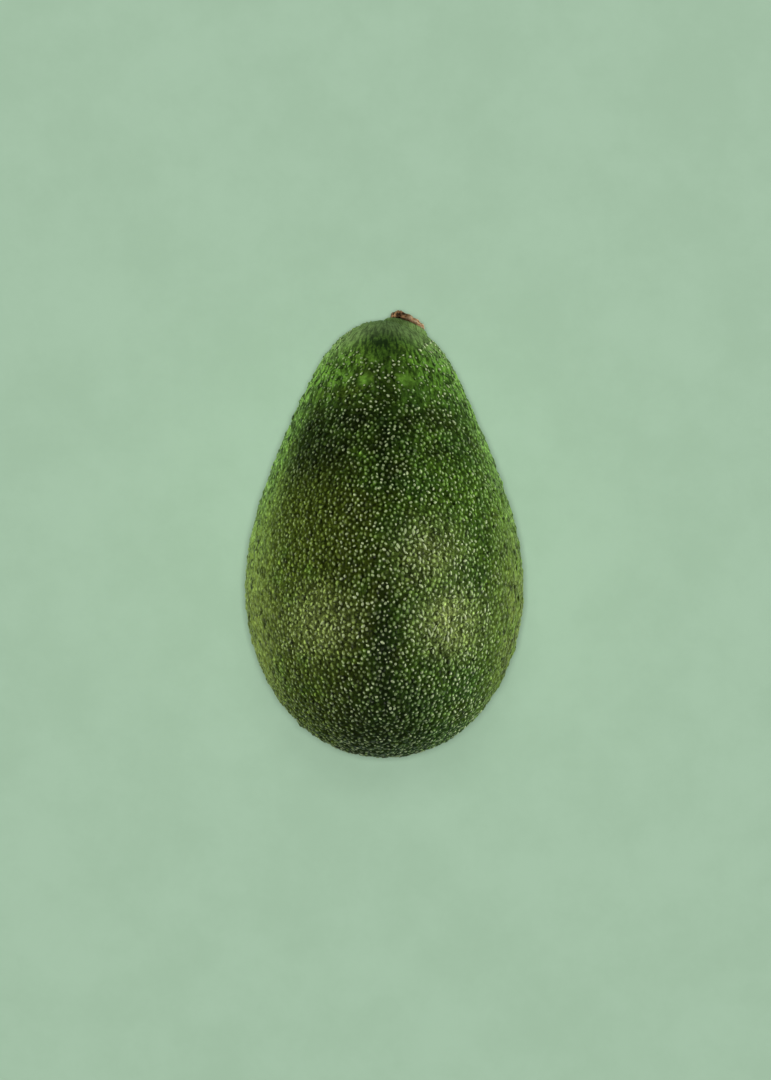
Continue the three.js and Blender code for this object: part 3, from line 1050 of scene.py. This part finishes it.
@dataclass
class StalkButton:
    """The dry, broken stub of stalk in the crown. Its outline is in millimetres, from the foot to the top."""

    seat: Matrix
    outline: tuple[Span, ...] = ((0.0, -2.6), (3.5, -2.6), (3.5, -0.5), (4.1, 0.1), (4.6, 0.6), (4.5, 1.3),
                                 (4.0, 1.9), (3.0, 2.0), (1.6, 1.7), (0.0, 1.5))
    radius: float = 4.6 * MM
    hidden_depth: float = 0.8 * MM
    sides: int = 160
    rows: int = 96
    pit_depth: float = 0.4 * MM
    pit_rate: float = 620.0
    pit_edge: Span = (0.12, 0.42)
    rough_height: float = 0.25 * MM
    rough_rate: float = 900.0
    ridge_rate: float = 250.0
    ridges: float = 3.0

    def profile(self) -> Array:
        """Spreads points along the outline.

        Returns:
            Their distances from the axis and their heights, in metres.
        """
        corners = np.array(self.outline) * MM
        reach = np.concatenate([[0.0], np.cumsum(np.hypot(*np.diff(corners, axis=0).T))])
        steps = np.linspace(0.0, reach[-1], self.rows)
        return np.stack([np.interp(steps, reach, corners[:, k]) for k in range(2)], axis=1)

    def worn(self, spot: Vector, angle: float) -> tuple[Vector, float]:
        """Wears one point of the plain button.

        Args:
            spot: the point, with the button's axis along +Y.
            angle: its angle round the axis.

        Returns:
            Where the point ends, and how light it is, from 0 for bark to 1 for clean fibre: lighter towards +X
            and where rough, darker in its pits.
        """
        shown = float(smooth(spot.y, 0.0, self.hidden_depth))
        rough = noise.fractal(spot * self.rough_rate, 0.8, 2.1, 5)
        around = (math.cos(angle) * self.ridges, math.sin(angle) * self.ridges)
        ridge = noise.noise(Vector((*around, spot.y * self.ridge_rate)))
        near, _ = noise.voronoi(spot * self.pit_rate)
        pit = 1 - float(smooth(near[0], *self.pit_edge))
        lean = 1 - 0.3 * shown * math.cos(angle)
        out = 1 + shown * (0.09 * ridge + 0.06 * rough - pit * self.pit_depth / self.radius)
        level = spot.y * lean + shown * rough * self.rough_height
        # Lighter towards +X and darker towards -X, lighter where rough and darker in the pits.
        torn = 0.5 + 0.35 * math.cos(angle) * shown + 0.45 * rough - 0.6 * pit * shown
        return Vector((spot.x * out, level, spot.z * out)), torn

    def faces(self, rings: int) -> list[tuple[int, ...]]:
        """Joins the button's rings of points.

        Args:
            rings: how many there are, between the middle of the foot and the middle of the top.

        Returns:
            The points of each face.
        """
        count = self.sides
        top = 1 + (rings - 1) * count
        after = [(k + 1) % count for k in range(count)]
        faces = [(0, 1 + after[k], 1 + k) for k in range(count)]
        for low in range(1, top, count):
            high = low + count
            faces += [(low + k, low + after[k], high + after[k], high + k) for k in range(count)]
        return faces + [(top + k, top + after[k], top + count) for k in range(count)]

    def build(self) -> Object:
        """Builds the button.

        Returns:
            The piece.
        """
        outline = self.profile()
        angles = np.linspace(0.0, 2 * math.pi, self.sides, endpoint=False)
        foot, top = ((Vector((0.0, level, 0.0)), 0.5) for level in (outline[0, 1], outline[-1, 1]))
        middle = [self.worn(Vector((radius * math.cos(angle), level, -radius * math.sin(angle))), angle)
                  for radius, level in outline[1:-1] for angle in angles]
        spots = [foot, *middle, top]
        points = np.array([self.seat @ spot for spot, _ in spots])
        piece = piece_of("stalk_wood", points, self.faces(len(outline) - 2))
        keep_numbers(piece, "worn", np.array([torn for _, torn in spots]))
        piece.data.materials.append(StalkFinish().material())
        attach(piece, "root")
        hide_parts("stem_button")
        return piece


class Side(Enum):
    """A side of the fruit with lights: its sign, and its shares of the soft light and of the strip."""

    RIGHT = (1.0, 1.0, 0.7)
    LEFT = (-1.0, 0.64, 1.0)


@dataclass(frozen=True)
class Lamp:
    """A soft light that faces the fruit: its place from the fruit's middle, its size and its watts."""

    place: Vector
    size: Span
    power: float
    glossy: bool = True


@dataclass
class Studio:
    """The camera over the fruit, the pale floor and the lights. The photograph's measures are in pixels."""

    middle: Vector
    reach: float
    lens: float = 200.0
    sensor: float = 36.0
    frame: Span = (771.0, 1080.0)
    fruit_middle: Span = (384.6, 537.0)
    fruit_height: float = 435.2
    softbox: Lamp = Lamp(Vector((0.85, -0.35, 0.55)).normalized() * 0.6, (0.24, 0.24), 1.16)
    strip: Lamp = Lamp(Vector((1.0, 0.0, 0.1)) * 0.4, (0.06, 0.3), 1.6, glossy=False)
    neck_light: Lamp = Lamp(Vector((0.0, 0.43, 0.25)), (0.2, 0.2), 0.52, glossy=False)
    floor_light: Lamp = Lamp(Vector((0.0, 0.0, 3.0)), (0.3, 0.3), 78.0)
    slant_light: Lamp = Lamp(Vector((0.0, 0.4, 1.7)), (0.4, 0.4), 3.5)
    floor_size: float = 3.0
    horizon: Tint = shade(196, 214, 192)
    ceiling: Tint = shade(70, 78, 70)
    glow: float = 0.06

    def camera(self) -> None:
        """Looks straight down, with the fruit as high and as placed as in the photograph."""
        step = self.reach / self.fruit_height
        (wide, high), (right, down) = self.frame, self.fruit_middle
        data = bpy.data.cameras.new("camera")
        data.lens, data.sensor_width = self.lens, self.sensor
        camera = bpy.data.objects.new("camera", data)
        away = high * step * self.lens / self.sensor
        camera.location = self.middle + Vector(((wide / 2 - right) * step, (down - high / 2) * step, away))
        bpy.context.scene.collection.objects.link(camera)
        bpy.context.scene.camera = camera

    def floor(self) -> Object:
        """Lays the plain floor.

        Returns:
            The floor.
        """
        half = self.floor_size / 2
        corners = np.array([(-half, -half, 0), (half, -half, 0), (half, half, 0), (-half, half, 0)])
        floor = piece_of("floor", corners, [(0, 1, 2, 3)])
        floor.data.materials.append(FloorFinish().material())
        return floor

    def panel(self, name: str, lamp: Lamp, lit: bpy.types.Collection, sign: float = 1.0,
              share: float = 1.0) -> None:
        """Hangs one soft light.

        Args:
            name: its name.
            lamp: what it is like.
            lit: what it shines on.
            sign: -1 to hang it on the other side of the fruit.
            share: its share of the lamp's power.
        """
        data = bpy.data.lights.new(name, "AREA")
        data.shape = "RECTANGLE"
        data.size, data.size_y = lamp.size
        data.energy = lamp.power * share
        light = bpy.data.objects.new(name, data)
        right, back, up = lamp.place
        light.location = place = self.middle + Vector((right * sign, back, up))
        light.rotation_euler = (self.middle - place).to_track_quat("-Z", "Y").to_euler()
        bpy.context.scene.collection.objects.link(light)
        light.visible_glossy = lamp.glossy
        light.light_linking.receiver_collection = lit

    def lights(self, floor: Object, pieces: Sequence[Object]) -> None:
        """Sets a soft light and a low strip on each side of the fruit, and two lights over the floor.

        Args:
            floor: what the lights over the floor shine on, and no other does.
            pieces: what the lights round the fruit shine on.
        """
        on_fruit, on_floor = (bpy.data.collections.new(name) for name in ("on_fruit", "on_floor"))
        on_floor.objects.link(floor)
        for piece in pieces:
            on_fruit.objects.link(piece)
        for side in Side:
            name = side.name.lower()
            sign, share, low_share = side.value
            self.panel(f"{name}_softbox", self.softbox, on_fruit, sign, share)
            self.panel(f"{name}_strip", self.strip, on_fruit, sign, low_share)
        self.panel("neck_light", self.neck_light, on_fruit)
        self.panel("floor_light", self.floor_light, on_floor)
        self.panel("slant_light", self.slant_light, on_floor)

    def world(self) -> None:
        """Surrounds the fruit with a pale horizon under a dim ceiling."""
        world = bpy.data.worlds.new("studio")
        bpy.context.scene.world = world
        world.use_nodes = True
        graph = Graph(world.node_tree)
        up = graph.part(graph.add("ShaderNodeTexCoord").outputs["Generated"], 2)
        tone = graph.blend(graph.ramp(up, 0.0, 0.7), self.horizon, self.ceiling)
        glow = graph.add("ShaderNodeBackground", {"Color": tone, "Strength": self.glow})
        graph.add("ShaderNodeOutputWorld", {"Surface": glow.outputs[0]})

    def build(self, pieces: Sequence[Object]) -> None:
        """Builds what stands round the given pieces, apart from the camera."""
        self.lights(self.floor(), pieces)
        self.world()
        bpy.context.scene.view_settings.view_transform = "Standard"


def main() -> None:
    """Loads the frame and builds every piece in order."""
    logging.basicConfig(level=logging.INFO, format="%(name)s: %(message)s")
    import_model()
    low, high = (Vector(corner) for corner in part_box("fruit"))

    fruit = Fruit(low, high)
    studio = Studio(middle=(low + high) / 2, reach=high.y - low.y)
    studio.camera()
    pieces = Skin(fruit).build() + [StalkButton(fruit.seat()).build()]
    studio.build(pieces)
    for piece in pieces:
        piece.data.calc_loop_triangles()
        LOG.info("%s: %d triangles", piece.name, len(piece.data.loop_triangles))


if __name__ == "__main__":
    main()
